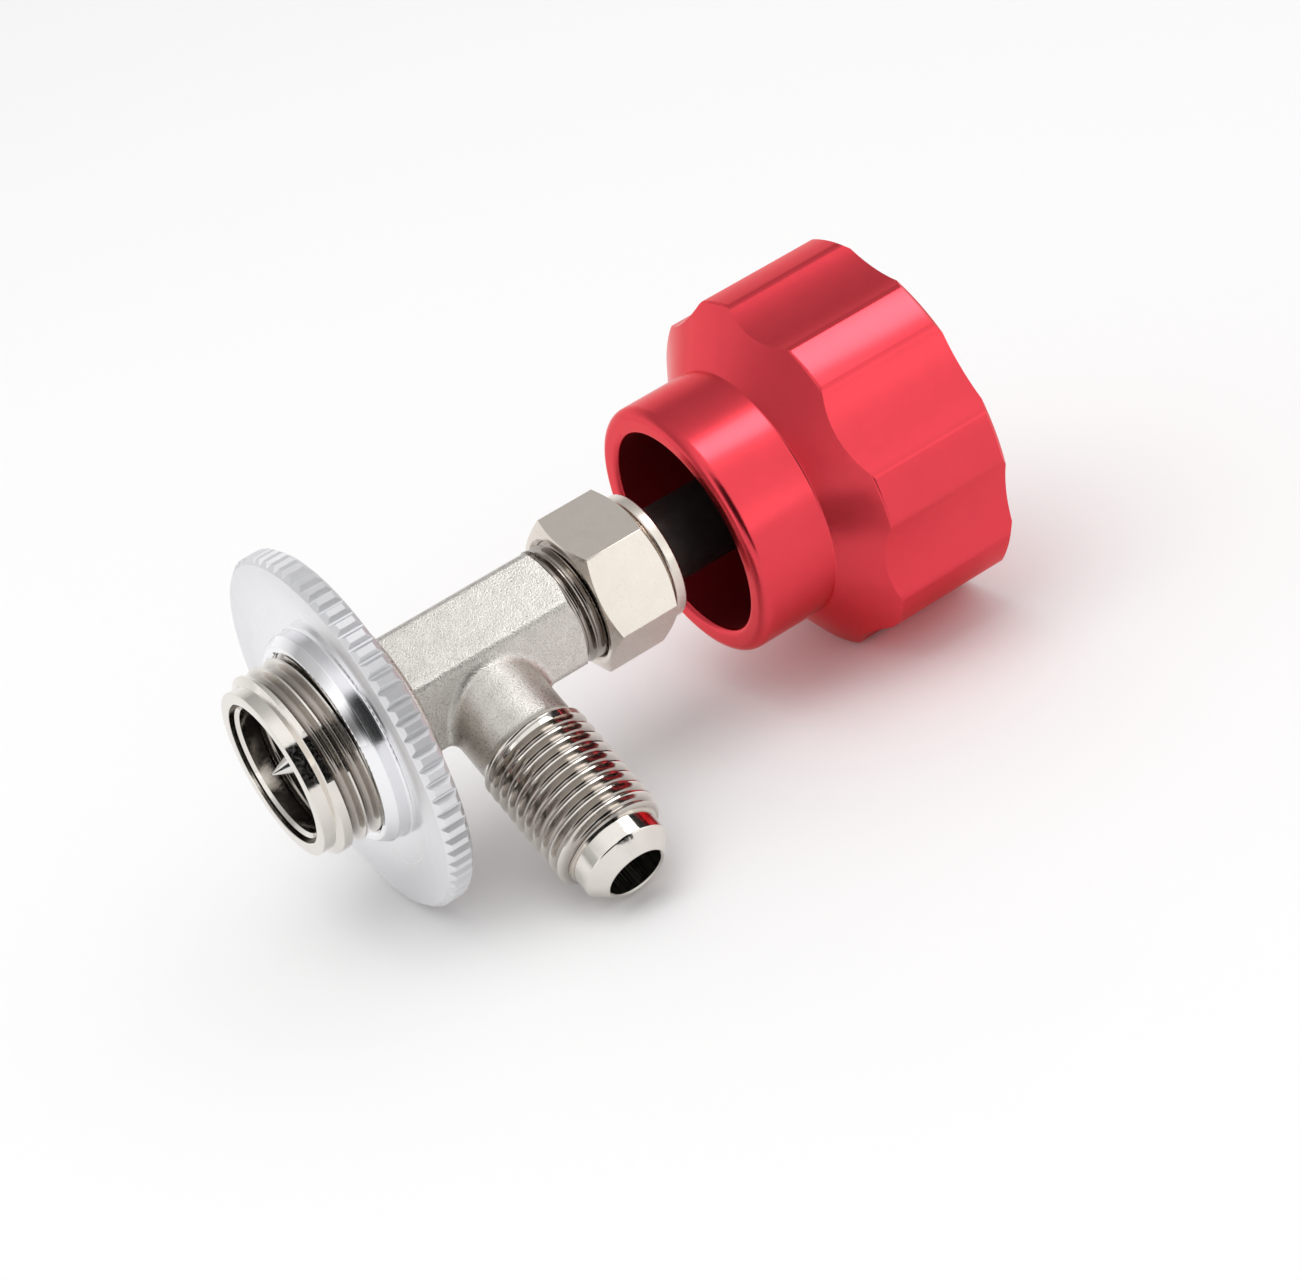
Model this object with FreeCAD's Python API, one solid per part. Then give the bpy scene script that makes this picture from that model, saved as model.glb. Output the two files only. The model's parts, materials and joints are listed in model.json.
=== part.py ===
import FreeCAD, Part
import math
import os

# Refrigerant can tap. Lengths are in millimetres and angles in degrees.
# X runs along the valve from the centre of the can socket's mouth to the knob, +Z is up.
# The tap lies on a table on its lock disc, its knob and the nose of its flare branch.

V = FreeCAD.Vector
AXIS = V(1, 0, 0)
ORIGIN = V(0, 0, 0)

# Clearances, each measured on the radius or on one face
slide_fit = 0.05
running_fit = 0.1
thread_fit = 0.025
o_ring_fit = 0.025
press_fit_gap = 0.01

# How far a cutting or joining solid runs past the surface that it meets
overcut = 1.0

# Can socket at the front of the body: outside thread for the disc, inside thread for the can
socket_diameter = 18.4
socket_length = 9.8
socket_front_land = 1.0
socket_front_step = 0.8
socket_mouth_radius = 0.35
socket_land_radius = 0.3
socket_relief_width = 1.3
socket_relief_depth = 0.9
can_bore_diameter = 13.0
can_bore_depth = 7.1
can_bore_chamfer = 0.75

# Rubber washer that seals on the can's neck
seal_thickness = 2.0
seal_hole_diameter = 4.6

# Forged hexagon body behind the socket
collar_diameter = 20.6
collar_width = 2.8
collar_front_radius = 0.3
collar_edge_radius = 0.9
body_across_flats = 11.8
body_edge_radius = 0.9
hexagon_length = 18.2
hexagon_end_chamfer = 0.9
hexagon_end_chamfer_angle = 30.0

# Passage for the needle, its seat, and the spindle's bore
passage_diameter = 4.0
passage_length = 4.0
seat_half_angle = 45.0
spindle_bore_diameter = 8.1

# Gland end of the body
gland_thread_diameter = 12.0
gland_thread_length = 7.3
gland_thread_chamfer = 0.5
gland_relief_width = 0.6
gland_relief_depth = 0.5
packing_bore_diameter = 9.7
packing_bore_depth = 2.6

# Flare branch, 1/4 inch size with a 7/16-20 thread
branch_position = 20.7
branch_neck_diameter = 10.0
branch_root_radius = 1.1
flare_thread_diameter = 11.11
flare_thread_start = 11.8
flare_thread_length = 12.1
flare_thread_chamfer = 0.6
flare_pilot_diameter = 9.1
flare_pilot_length = 2.0
flare_pilot_edge_radius = 0.25
flare_cone_half_angle = 45.0
flare_nose_diameter = 6.1
flare_nose_edge_radius = 0.15
flare_bore_diameter = 5.6
flare_bore_chamfer = 0.15

# Lock disc, turned and knurled
disc_diameter = 36.4
disc_rim_thickness = 2.7
disc_edge_chamfer = 0.5
disc_rim_land = 1.6
disc_dish_depth = 0.9
hub_wall = 1.5
hub_projection = 2.4
hub_chamfer_length = 1.0
hub_chamfer_depth = 0.7
hub_edge_radius = 0.2
hub_root_radius = 0.25
disc_bore_chamfer = 0.3
knurl_teeth = 72
knurl_depth = 0.42
knurl_crest_share = 0.42
knurl_root_share = 0.12
disc_seat_gap = 0.05

# Piercing needle
needle_tip_setback = 0.1
needle_diameter = 3.0
needle_point_angle = 48.0
needle_tip_diameter = 0.2
needle_tail_diameter = 2.4
needle_tail_length = 6.0

# Spindle: how far it is off its seat as it lies, and its steps from front to back
spindle_open_travel = 2.0
spindle_nose_tip_diameter = 3.2
spindle_nose_diameter = 5.2
spindle_edge_radius = 0.2
spindle_root_radius = 0.4
piston_start = 25.0
piston_front_land = 0.8
piston_diameter = 7.8
o_ring_section = 1.0
o_ring_groove_width = 1.35
piston_rear_land = 0.9
spindle_relief_width = 0.7
spindle_relief_diameter = 6.6
spindle_thread_length = 12.4
stem_diameter = 7.7
drive_diameter = 6.0
drive_across_flats = 4.8
drive_end_setback = 0.4
screw_hole_depth = 9.0

# Gland nut and what it presses together
nut_across_flats = 14.0
nut_start = 32.95
nut_hexagon_length = 7.45
nut_edge_radius = 0.15
nut_chamfer_angle = 28.0
nut_face_diameter = 13.6
nut_groove_width = 0.35
nut_groove_depth = 0.5
nut_ring_diameter = 12.9
nut_ring_width = 1.3
nut_ring_edge_radius = 0.3
nut_wall = 1.8
nut_thread_runout = 0.5
nut_thread_lead = 0.4
nut_phase = 16.2
packing_washer_thickness = 0.5
packing_thickness = 1.5

# Knob
knob_start = 46.0
skirt_diameter = 26.0
skirt_bore_diameter = 21.0
skirt_length = 8.4
skirt_front_radius = 1.1
skirt_bore_radius = 0.6
knob_cavity_depth = 10.6
knob_cavity_corner_radius = 1.0
shoulder_length = 3.6
shoulder_root_radius = 0.2
head_diameter = 36.9
head_length = 13.6
head_front_radius = 0.4
head_rear_chamfer = 0.5
flute_count = 8
flute_depth = 1.25
flute_radius = 16.0
flute_edge_radius = 2.0
flute_edge_angle = 8.0
knob_phase = 17.0
counterbore_diameter = 11.0
counterbore_depth = 5.2
counterbore_chamfer = 0.4
counterbore_corner_radius = 0.3

# Screw and washers that hold the knob on the spindle
screw_diameter = 4.0
screw_length = 9.0
screw_tip_chamfer = 0.4
screw_head_diameter = 7.6
screw_head_height = 2.6
screw_head_radius = 1.4
screw_slot_width = 1.0
screw_slot_depth = 1.1
screw_slot_phase = 25.0
flat_washer_diameter = 9.0
flat_washer_thickness = 0.8
spring_washer_diameter = 7.2
spring_washer_thickness = 1.0
spring_washer_slit = 0.6
washer_hole_diameter = 4.3

# Places along the axis that follow from the lengths above
collar_end = socket_length + collar_width
hexagon_end = collar_end + hexagon_length
gland_end = hexagon_end + gland_thread_length
packing_floor = gland_end - packing_bore_depth
seal_front = can_bore_depth - seal_thickness
passage_end = can_bore_depth + passage_length
seat_slope = math.tan(math.radians(seat_half_angle))
seat_depth = (spindle_bore_diameter - passage_diameter) / 2 / seat_slope
flare_thread_end = flare_thread_start + flare_thread_length
flare_pilot_end = flare_thread_end + flare_pilot_length
flare_cone_slope = math.tan(math.radians(flare_cone_half_angle))
flare_cone_length = (flare_pilot_diameter - flare_nose_diameter) / 2 / flare_cone_slope
flare_end = flare_pilot_end + flare_cone_length
disc_rear = socket_length - disc_seat_gap
disc_front = disc_rear - disc_rim_thickness
hub_root = disc_front + disc_dish_depth
hub_front = hub_root - hub_projection
groove_start = piston_start + piston_front_land
groove_end = groove_start + o_ring_groove_width
spindle_relief_start = groove_end + piston_rear_land
spindle_thread_start = spindle_relief_start + spindle_relief_width
spindle_thread_end = spindle_thread_start + spindle_thread_length
stem_hole_diameter = piston_diameter + 2 * running_fit
nut_hexagon_end = nut_start + nut_hexagon_length
nut_ring_start = nut_hexagon_end + nut_groove_width
nut_end = nut_ring_start + nut_ring_width
nut_wall_front = nut_end - nut_wall
nut_thread_end = gland_end + nut_thread_runout
knob_floor = knob_start + knob_cavity_depth
shoulder_start = knob_start + skirt_length
head_start = shoulder_start + shoulder_length
knob_end = head_start + head_length
counterbore_floor = knob_end - counterbore_depth
spindle_end = counterbore_floor - drive_end_setback

# The nose of the spindle, which stands off its seat by the travel that is left to close
nose_contact_start = passage_end + spindle_open_travel + slide_fit
nose_start = nose_contact_start - (passage_diameter - spindle_nose_tip_diameter) / 2 / seat_slope
nose_cone_end = nose_start + (spindle_nose_diameter - spindle_nose_tip_diameter) / 2 / seat_slope

# The branch is turned down until the edge of its pilot touches the plane under the disc
pilot_reach = math.hypot(flare_pilot_end, flare_pilot_diameter / 2)
pilot_angle = math.degrees(math.atan2(flare_pilot_diameter / 2, flare_pilot_end))
branch_drop = math.degrees(math.asin(disc_diameter / 2 / pilot_reach)) - pilot_angle


def rounded_wire(corners, place):
    """Closed outline through (a, b, radius) corners, with an arc at each corner that has a radius."""
    count = len(corners)
    joins = []
    for i, (a, b, radius) in enumerate(corners):
        corner = place(a, b)
        if radius <= 0:
            joins.append((corner, None, corner))
            continue
        before = (place(*corners[i - 1][:2]) - corner).normalize()
        after = (place(*corners[(i + 1) % count][:2]) - corner).normalize()
        half = before.getAngle(after) / 2
        reach = radius / math.tan(half)
        middle = corner + (before + after).normalize() * (radius / math.sin(half) - radius)
        joins.append((corner + before * reach, middle, corner + after * reach))
    edges = []
    for i, (start, middle, end) in enumerate(joins):
        if middle is not None:
            edges.append(Part.Arc(start, middle, end).toShape())
        follow = joins[(i + 1) % count][0]
        if end.distanceToPoint(follow) > 1e-6:
            edges.append(Part.LineSegment(end, follow).toShape())
    return Part.Wire(edges)


def turned(corners):
    """Solid turned about the X axis from its half section, given as (x, radius, corner radius)."""
    face = Part.Face(rounded_wire(corners, lambda x, r: V(x, 0, r)))
    return face.revolve(ORIGIN, AXIS, 360)


def turned_plain(*corners):
    """Turned solid whose corners are all sharp."""
    return turned([(x, r, 0) for x, r in corners])


def ring(start, end, inner_diameter, outer_diameter):
    """Plain ring about the X axis."""
    inner = inner_diameter / 2
    outer = outer_diameter / 2
    return turned_plain((start, inner), (start, outer), (end, outer), (end, inner))


def prism(wire, length):
    """Solid drawn along +X from a wire that lies across the axis."""
    return Part.Face(wire).extrude(AXIS * length)


def hexagon(start, length, across_flats, edge_radius, phase):
    """Hexagon bar along X, with a corner at the phase angle from +Y."""
    corner_radius = across_flats / 2 / math.cos(math.radians(30))
    corners = []
    for i in range(6):
        angle = math.radians(phase + 60 * i)
        corners.append((corner_radius * math.cos(angle), corner_radius * math.sin(angle), edge_radius))
    return prism(rounded_wire(corners, lambda y, z: V(start, y, z)), length)


def turned_about_axis(shape, angle):
    """Copy of a shape, rolled about the X axis."""
    copy = shape.copy()
    copy.rotate(ORIGIN, AXIS, angle)
    return copy


def body_outside():
    """Socket, collar, hexagon bar and gland thread as one bar, before it is drilled."""
    socket = socket_diameter / 2
    collar = collar_diameter / 2
    relief = socket - socket_relief_depth
    relief_start = socket_length - socket_relief_width
    front = turned([
        (0, 0, 0),
        (0, socket - socket_front_step, socket_mouth_radius),
        (socket_front_land, socket, socket_land_radius),
        (relief_start - socket_relief_depth, socket, 0),
        (relief_start, relief, 0),
        (socket_length, relief, 0),
        (socket_length, collar, collar_front_radius),
        (collar_end, collar, collar_edge_radius),
        (collar_end, 0, 0),
    ])
    corner = body_across_flats / 2 / math.cos(math.radians(30))
    chamfer_run = hexagon_end_chamfer * math.tan(math.radians(hexagon_end_chamfer_angle))
    bar_blank = hexagon(socket_length, hexagon_end - socket_length, body_across_flats, body_edge_radius, 0)
    end_chamfer = turned_plain(
        (0, 0),
        (0, corner),
        (hexagon_end - chamfer_run, corner),
        (hexagon_end, corner - hexagon_end_chamfer),
        (hexagon_end, 0),
    )
    thread = gland_thread_diameter / 2
    gland_relief = thread - gland_relief_depth
    gland = turned_plain(
        (hexagon_end - overcut, 0),
        (hexagon_end - overcut, gland_relief),
        (hexagon_end + gland_relief_width, gland_relief),
        (hexagon_end + gland_relief_width, thread),
        (gland_end - gland_thread_chamfer, thread),
        (gland_end, thread - gland_thread_chamfer),
        (gland_end, 0),
    )
    return front.fuse([bar_blank.common(end_chamfer), gland])


def flare_branch():
    """Flare branch, turned about its own axis, with its neck sunk in the bar."""
    neck = branch_neck_diameter / 2
    thread = flare_thread_diameter / 2
    pilot = flare_pilot_diameter / 2
    lead = flare_thread_chamfer
    branch = turned([
        (0, 0, 0),
        (0, neck, 0),
        (flare_thread_start - (thread - neck), neck, 0),
        (flare_thread_start, thread, 0),
        (flare_thread_end - lead, thread, 0),
        (flare_thread_end, thread - lead, 0),
        (flare_thread_end, pilot, 0),
        (flare_pilot_end, pilot, flare_pilot_edge_radius),
        (flare_end, flare_nose_diameter / 2, flare_nose_edge_radius),
        (flare_end, 0, 0),
    ])
    branch.rotate(ORIGIN, V(0, 0, 1), -90)
    branch.translate(V(branch_position, 0, 0))
    return branch


def body_bores():
    """Everything that is drilled out of the body."""
    can = can_bore_diameter / 2
    passage = passage_diameter / 2
    bore = spindle_bore_diameter / 2
    packing = packing_bore_diameter / 2
    along = turned_plain(
        (-overcut, 0),
        (-overcut, can + can_bore_chamfer),
        (0, can + can_bore_chamfer),
        (can_bore_chamfer, can),
        (can_bore_depth, can),
        (can_bore_depth, passage),
        (passage_end, passage),
        (passage_end + seat_depth, bore),
        (packing_floor, bore),
        (packing_floor, packing),
        (gland_end + overcut, packing),
        (gland_end + overcut, 0),
    )
    flare = flare_bore_diameter / 2
    across = turned_plain(
        (0, 0),
        (0, flare),
        (flare_end - flare_bore_chamfer, flare),
        (flare_end, flare + flare_bore_chamfer),
        (flare_end + overcut, flare + flare_bore_chamfer),
        (flare_end + overcut, 0),
    )
    across.rotate(ORIGIN, V(0, 0, 1), -90)
    across.translate(V(branch_position, 0, 0))
    return along.fuse(across)


def branch_root_edges(body):
    """Edges where the branch's neck leaves the hexagon bar."""
    neck = branch_neck_diameter / 2
    found = []
    for edge in body.Edges:
        points = edge.discretize(9)
        on_neck = all(abs(math.hypot(p.x - branch_position, p.z) - neck) < 0.02 for p in points)
        near_bar = all(-body_across_flats < p.y < 0 for p in points)
        if on_neck and near_bar and edge.Length > 0.05:
            found.append(edge)
    return found


def valve_body():
    """Forged and machined brass body: can socket, hexagon bar, gland thread and flare branch."""
    solid = body_outside().fuse(flare_branch()).removeSplitter()
    solid = solid.makeFillet(branch_root_radius, branch_root_edges(solid))
    solid = solid.cut(body_bores())
    return turned_about_axis(solid, branch_drop)


def can_seal():
    """Rubber washer at the bottom of the can socket."""
    return ring(seal_front, can_bore_depth, seal_hole_diameter, can_bore_diameter - 2 * slide_fit)


def knurl_section(radius):
    """Outline of the knurled rim: a flat crest, a sloping side, a flat root and a side for each tooth."""
    step = 360 / knurl_teeth
    crest = step * knurl_crest_share
    root = step * knurl_root_share
    side = (step - crest - root) / 2
    points = []
    for i in range(knurl_teeth):
        start = i * step
        turns = (
            (start, radius),
            (start + crest, radius),
            (start + crest + side, radius - knurl_depth),
            (start + crest + side + root, radius - knurl_depth),
        )
        for angle, r in turns:
            points.append((r * math.cos(math.radians(angle)), r * math.sin(math.radians(angle)), 0))
    return points


def lock_disc():
    """Aluminium lock disc with its hub, its dished face and its straight knurl."""
    rim = disc_diameter / 2
    bore = socket_diameter / 2 + slide_fit
    hub = bore + hub_wall
    chamfer = disc_edge_chamfer
    blank = turned([
        (hub_front, bore + disc_bore_chamfer, 0),
        (hub_front, hub - hub_chamfer_depth, hub_edge_radius),
        (hub_front + hub_chamfer_length, hub, hub_edge_radius),
        (hub_root, hub, hub_root_radius),
        (disc_front, rim - chamfer - disc_rim_land, 0),
        (disc_front, rim - chamfer, 0),
        (disc_front + chamfer, rim, 0),
        (disc_rear - chamfer, rim, 0),
        (disc_rear, rim - chamfer, 0),
        (disc_rear, bore + disc_bore_chamfer, 0),
        (disc_rear - disc_bore_chamfer, bore, 0),
        (hub_front + disc_bore_chamfer, bore, 0),
    ])
    wire = rounded_wire(knurl_section(rim), lambda y, z: V(hub_front, y, z))
    return blank.common(prism(wire, disc_rear - hub_front))


def piercing_needle():
    """Hardened needle with a conical point and a thinner tail that is pressed into the spindle."""
    body = needle_diameter / 2
    tip = needle_tip_diameter / 2
    tail = needle_tail_diameter / 2
    point_length = (body - tip) / math.tan(math.radians(needle_point_angle / 2))
    return turned_plain(
        (needle_tip_setback, 0),
        (needle_tip_setback, tip),
        (needle_tip_setback + point_length, body),
        (nose_start, body),
        (nose_start, tail),
        (nose_start + needle_tail_length - running_fit, tail),
        (nose_start + needle_tail_length - running_fit, 0),
    )


def plain_cylinder(start, end, diameter):
    """Plain solid cylinder about the X axis."""
    return Part.makeCylinder(diameter / 2, end - start, V(start, 0, 0), AXIS)


def drive_bar(start, end, diameter, across_flats):
    """Round bar along X with two flats across Z."""
    bar = plain_cylinder(start, end, diameter)
    slab = Part.makeBox(end - start, diameter, across_flats, V(start, -diameter / 2, -across_flats / 2))
    return bar.common(slab)


def spindle():
    """Blackened steel spindle: seat nose, O-ring piston, thread, plain stem and flatted drive end."""
    nose = spindle_nose_diameter / 2
    piston = piston_diameter / 2
    floor = spindle_bore_diameter / 2 - 2 * o_ring_fit - o_ring_section
    relief = spindle_relief_diameter / 2
    stem = stem_diameter / 2
    shaft = turned([
        (nose_start, 0, 0),
        (nose_start, spindle_nose_tip_diameter / 2, 0),
        (nose_cone_end, nose, spindle_edge_radius),
        (piston_start, nose, spindle_root_radius),
        (piston_start, piston, spindle_edge_radius),
        (groove_start, piston, 0),
        (groove_start, floor, 0),
        (groove_end, floor, 0),
        (groove_end, piston, 0),
        (spindle_relief_start, piston, 0),
        (spindle_relief_start, relief, 0),
        (spindle_thread_start, relief, 0),
        (spindle_thread_start, piston, 0),
        (spindle_thread_end, piston, 0),
        (spindle_thread_end + (piston - stem), stem, 0),
        (knob_floor - slide_fit, stem, 0),
        (knob_floor - slide_fit, 0, 0),
    ])
    drive = drive_bar(knob_floor - overcut, spindle_end, drive_diameter, drive_across_flats)
    tail_hole = plain_cylinder(nose_start - overcut, nose_start + needle_tail_length,
                               needle_tail_diameter + 2 * press_fit_gap)
    screw_hole = plain_cylinder(spindle_end - screw_hole_depth, spindle_end + overcut,
                                screw_diameter + 2 * press_fit_gap)
    return shaft.fuse(drive).cut(tail_hole.fuse(screw_hole))


def spindle_o_ring():
    """O-ring that seals the spindle in its bore, in the middle of its groove."""
    outer = spindle_bore_diameter / 2 - o_ring_fit
    section = o_ring_section / 2
    middle = (groove_start + groove_end) / 2
    return Part.makeTorus(outer - section, section, V(middle, 0, 0), AXIS)


def packing_washer():
    """Brass washer under the packing."""
    end = packing_floor + packing_washer_thickness
    return ring(packing_floor, end, stem_hole_diameter, packing_bore_diameter - 2 * slide_fit)


def stem_packing():
    """PTFE packing ring round the spindle."""
    start = packing_floor + packing_washer_thickness
    return ring(start, start + packing_thickness, stem_hole_diameter, packing_bore_diameter - 2 * slide_fit)


def gland_ring():
    """Brass ring that carries the nut's push to the packing."""
    start = packing_floor + packing_washer_thickness + packing_thickness
    return ring(start, nut_wall_front, stem_hole_diameter, packing_bore_diameter - 2 * slide_fit)


def gland_nut():
    """Hexagon gland nut with chamfered ends, a groove and a turned ring behind it."""
    corner = nut_across_flats / 2 / math.cos(math.radians(30))
    face = nut_face_diameter / 2
    run = (corner - face) * math.tan(math.radians(nut_chamfer_angle))
    blank = hexagon(nut_start, nut_hexagon_length, nut_across_flats, nut_edge_radius, nut_phase)
    envelope = turned_plain(
        (nut_start, 0),
        (nut_start, face),
        (nut_start + run, corner),
        (nut_hexagon_end - run, corner),
        (nut_hexagon_end, face),
        (nut_hexagon_end, 0),
    )
    neck = nut_ring_diameter / 2 - nut_groove_depth
    ring_radius = nut_ring_diameter / 2
    tail = turned([
        (nut_hexagon_end - overcut, 0, 0),
        (nut_hexagon_end - overcut, neck, 0),
        (nut_ring_start, neck, 0),
        (nut_ring_start, ring_radius, nut_ring_edge_radius),
        (nut_end, ring_radius, nut_ring_edge_radius),
        (nut_end, 0, 0),
    ])
    thread = gland_thread_diameter / 2 + thread_fit
    pocket = packing_bore_diameter / 2 + running_fit
    hole = stem_hole_diameter / 2
    bores = turned_plain(
        (nut_start - overcut, 0),
        (nut_start - overcut, thread + nut_thread_lead),
        (nut_start, thread + nut_thread_lead),
        (nut_start + nut_thread_lead, thread),
        (nut_thread_end, thread),
        (nut_thread_end, pocket),
        (nut_wall_front, pocket),
        (nut_wall_front, hole),
        (nut_end + overcut, hole),
        (nut_end + overcut, 0),
    )
    return blank.common(envelope).fuse(tail).cut(bores)


def flute_section():
    """Outline across one flute: a hollow arc between two rounded edges, open towards the outside."""
    head = head_diameter / 2
    edge = flute_edge_radius
    meeting = math.radians(flute_edge_angle)
    hollow_place = head - flute_depth + flute_radius
    edge_place = math.sqrt(head ** 2 + edge ** 2 - 2 * head * edge * math.cos(meeting))
    edge_y = (edge_place ** 2 - (flute_radius + edge) ** 2 + hollow_place ** 2) / 2 / hollow_place
    edge_z = math.sqrt(edge_place ** 2 - edge_y ** 2)
    hollow_turn = math.atan2(edge_z, hollow_place - edge_y)
    land_turn = math.atan2(edge_z, edge_y) - math.asin(edge * math.sin(meeting) / edge_place)
    last_turn = land_turn - meeting / 2

    def on_edge(turn):
        return V(knob_start - overcut, edge_y + edge * math.cos(turn), edge_z + edge * math.sin(turn))

    join = on_edge(-hollow_turn)
    middle = on_edge((last_turn - hollow_turn) / 2)
    last = on_edge(last_turn)
    away = last + V(0, -math.sin(last_turn), math.cos(last_turn)) * overcut
    outside = V(last.x, head + overcut, away.z)
    bottom = V(last.x, head - flute_depth, 0)

    def mirrored(point):
        return V(point.x, point.y, -point.z)

    return Part.Wire([
        Part.Arc(mirrored(join), bottom, join).toShape(),
        Part.Arc(join, middle, last).toShape(),
        Part.LineSegment(last, away).toShape(),
        Part.LineSegment(away, outside).toShape(),
        Part.LineSegment(outside, mirrored(outside)).toShape(),
        Part.LineSegment(mirrored(outside), mirrored(away)).toShape(),
        Part.LineSegment(mirrored(away), mirrored(last)).toShape(),
        Part.Arc(mirrored(last), mirrored(middle), mirrored(join)).toShape(),
    ])


def flute_cutters():
    """Long cutters that mill the shallow rounded flutes along the knob's head."""
    cutter = prism(flute_section(), knob_end - knob_start + 2 * overcut)
    step = 360 / flute_count
    return [turned_about_axis(cutter, knob_phase + i * step) for i in range(flute_count)]


def knob():
    """Anodised aluminium knob: skirt, cone shoulder and fluted head, hollow at the front."""
    skirt = skirt_diameter / 2
    bore = skirt_bore_diameter / 2
    head = head_diameter / 2
    counterbore = counterbore_diameter / 2
    blank = turned([
        (knob_floor, 0, 0),
        (knob_floor, bore, knob_cavity_corner_radius),
        (knob_start, bore, skirt_bore_radius),
        (knob_start, skirt, skirt_front_radius),
        (shoulder_start, skirt, shoulder_root_radius),
        (head_start, head, head_front_radius),
        (knob_end - head_rear_chamfer, head, 0),
        (knob_end, head - head_rear_chamfer, 0),
        (knob_end, counterbore + counterbore_chamfer, 0),
        (knob_end - counterbore_chamfer, counterbore, 0),
        (counterbore_floor, counterbore, counterbore_corner_radius),
        (counterbore_floor, 0, 0),
    ])
    hole = drive_bar(knob_floor - overcut, counterbore_floor + overcut,
                     drive_diameter + 2 * slide_fit, drive_across_flats + 2 * slide_fit)
    return blank.cut(flute_cutters() + [hole])


def knob_flat_washer():
    """Flat washer on the floor of the knob's counterbore."""
    end = counterbore_floor + flat_washer_thickness
    return ring(counterbore_floor, end, washer_hole_diameter, flat_washer_diameter)


def knob_spring_washer():
    """Split spring washer under the screw's head."""
    start = counterbore_floor + flat_washer_thickness
    end = start + spring_washer_thickness
    washer = ring(start, end, washer_hole_diameter, spring_washer_diameter)
    slit = Part.makeBox(spring_washer_thickness, spring_washer_diameter, spring_washer_slit,
                        V(start, 0, -spring_washer_slit / 2))
    return washer.cut(slit)


def knob_screw():
    """Slotted pan head screw into the end of the spindle."""
    head_start_x = counterbore_floor + flat_washer_thickness + spring_washer_thickness
    head_end_x = head_start_x + screw_head_height
    tip_x = head_start_x - screw_length
    shank = screw_diameter / 2
    head = screw_head_diameter / 2
    screw = turned([
        (tip_x, 0, 0),
        (tip_x, shank - screw_tip_chamfer, 0),
        (tip_x + screw_tip_chamfer, shank, 0),
        (head_start_x, shank, 0),
        (head_start_x, head, 0),
        (head_end_x, head, screw_head_radius),
        (head_end_x, 0, 0),
    ])
    slot_start = V(head_end_x - screw_slot_depth, -screw_head_diameter / 2 - overcut, -screw_slot_width / 2)
    slot = Part.makeBox(screw_slot_depth + overcut, screw_head_diameter + 2 * overcut, screw_slot_width,
                        slot_start)
    slot.rotate(ORIGIN, AXIS, screw_slot_phase)
    return screw.cut(slot)


PIECES = (
    valve_body,
    can_seal,
    lock_disc,
    piercing_needle,
    spindle,
    spindle_o_ring,
    packing_washer,
    stem_packing,
    gland_ring,
    gland_nut,
    knob,
    knob_flat_washer,
    knob_spring_washer,
    knob_screw,
)

os.makedirs("parts", exist_ok=True)
for make in PIECES:
    shape = make()
    box = shape.BoundBox
    print(make.__name__, "valid", shape.isValid(), "solids", len(shape.Solids), "faces", len(shape.Faces),
          "volume", round(shape.Volume, 1), "x", round(box.XMin, 2), round(box.XMax, 2),
          "z", round(box.ZMin, 2), round(box.ZMax, 2))
    shape.exportStep(os.path.join("parts", make.__name__ + ".step"))
print("branch drop", round(branch_drop, 2))
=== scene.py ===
import json
import math

import bpy
from bpy.props import FloatProperty, FloatVectorProperty, IntProperty, PointerProperty
from bpy.types import Operator, Panel, PropertyGroup
from mathutils import Matrix, Quaternion, Vector


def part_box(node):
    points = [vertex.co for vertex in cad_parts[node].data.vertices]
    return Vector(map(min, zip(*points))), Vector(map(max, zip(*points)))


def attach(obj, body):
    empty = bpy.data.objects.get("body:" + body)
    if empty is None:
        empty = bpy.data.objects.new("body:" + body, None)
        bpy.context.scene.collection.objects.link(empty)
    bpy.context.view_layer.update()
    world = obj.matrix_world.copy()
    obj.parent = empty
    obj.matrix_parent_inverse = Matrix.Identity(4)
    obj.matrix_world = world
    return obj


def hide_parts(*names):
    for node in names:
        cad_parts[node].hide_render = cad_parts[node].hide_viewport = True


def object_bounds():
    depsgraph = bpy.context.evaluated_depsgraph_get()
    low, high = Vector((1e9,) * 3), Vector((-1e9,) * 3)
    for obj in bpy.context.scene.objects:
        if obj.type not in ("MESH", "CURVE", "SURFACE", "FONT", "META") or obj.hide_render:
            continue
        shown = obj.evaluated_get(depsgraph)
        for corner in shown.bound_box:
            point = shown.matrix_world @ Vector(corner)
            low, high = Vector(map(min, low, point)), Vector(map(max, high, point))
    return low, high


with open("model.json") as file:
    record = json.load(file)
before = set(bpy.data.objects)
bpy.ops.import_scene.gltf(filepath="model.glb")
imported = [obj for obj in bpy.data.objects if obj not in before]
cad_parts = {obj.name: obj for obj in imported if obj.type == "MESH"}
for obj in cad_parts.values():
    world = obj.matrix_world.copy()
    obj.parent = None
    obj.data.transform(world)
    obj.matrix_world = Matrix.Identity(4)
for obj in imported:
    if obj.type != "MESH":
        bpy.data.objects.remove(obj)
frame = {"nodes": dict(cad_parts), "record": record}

bl_info = {
    "name": "Refrigerant can tap",
    "version": (1, 0, 0),
    "blender": (4, 5, 0),
    "location": "3D View > Sidebar > Can tap",
    "description": "Cuts the threads of a can tap, finishes each piece and sets up a pale studio",
    "category": "Object",
}

MM = 0.001

# Levels of the tent in reflections, by degrees from the front horizon over the top to the back one
CEILING = (
    (0, 1.5), (12, 1.4), (24, 1.15), (40, 1.1), (60, 1.15), (80, 1.1),
    (94, 0.82), (106, 0.62), (120, 0.55), (140, 0.46), (154, 0.8), (170, 1.0),
)
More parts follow.
